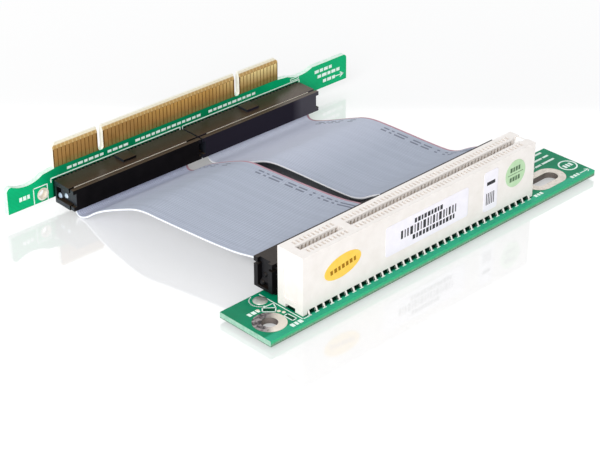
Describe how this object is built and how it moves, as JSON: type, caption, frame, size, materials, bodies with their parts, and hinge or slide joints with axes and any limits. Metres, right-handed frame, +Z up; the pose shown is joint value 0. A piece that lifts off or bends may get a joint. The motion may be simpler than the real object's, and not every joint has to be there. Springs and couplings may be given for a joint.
{
  "type": "slot extender cable",
  "caption": "Expansion slot extender: an edge card and a slot board joined by two flat grey ribbon cables.",
  "frame": {"origin": "middle of the footprint, on the surface the part lies on", "axes": "+X along the slot, +Y from the slot board to the edge card, +Z up"},
  "size_m": [0.1308, 0.0922, 0.0189],
  "materials": {
    "board_green": "green solder mask over glass laminate",
    "contact_gold": "gold plated",
    "solder_tin": "tinned",
    "connector_black": "moulded, satin",
    "slot_ivory": "moulded, satin",
    "ribbon_grey": "ribbed flexible insulation",
    "label_white": "printed film label",
    "sticker_yellow": "printed film label",
    "sticker_green": "printed film label"
  },
  "bodies": {
    "root": {"bar_label": "label_white", "card_socket_body_far": "connector_black", "card_socket_body_near": "connector_black", "card_socket_cover_far": "connector_black", "card_socket_cover_near": "connector_black", "card_socket_tails_far": "solder_tin", "card_socket_tails_near": "solder_tin", "card_wire_eyelet": "solder_tin", "edge_card_board": "board_green", "edge_contacts_front": "contact_gold", "edge_contacts_rear": "contact_gold", "mount_hole_plating": "solder_tin", "mount_slot_plating": "solder_tin", "oval_sticker": "sticker_yellow", "part_label": "label_white", "ribbon_far": "ribbon_grey", "ribbon_near": "ribbon_grey", "round_sticker": "sticker_green", "slot_board": "board_green", "slot_contacts_front": "contact_gold", "slot_contacts_rear": "contact_gold", "slot_housing": "slot_ivory", "slot_socket_body_far": "connector_black", "slot_socket_body_near": "connector_black", "slot_socket_cover_far": "connector_black", "slot_socket_cover_near": "connector_black", "slot_socket_tails_far": "solder_tin", "slot_socket_tails_near": "solder_tin", "slot_tails_front": "solder_tin", "slot_tails_rear": "solder_tin", "wire_pad": "solder_tin"}
  },
  "joints": []
}
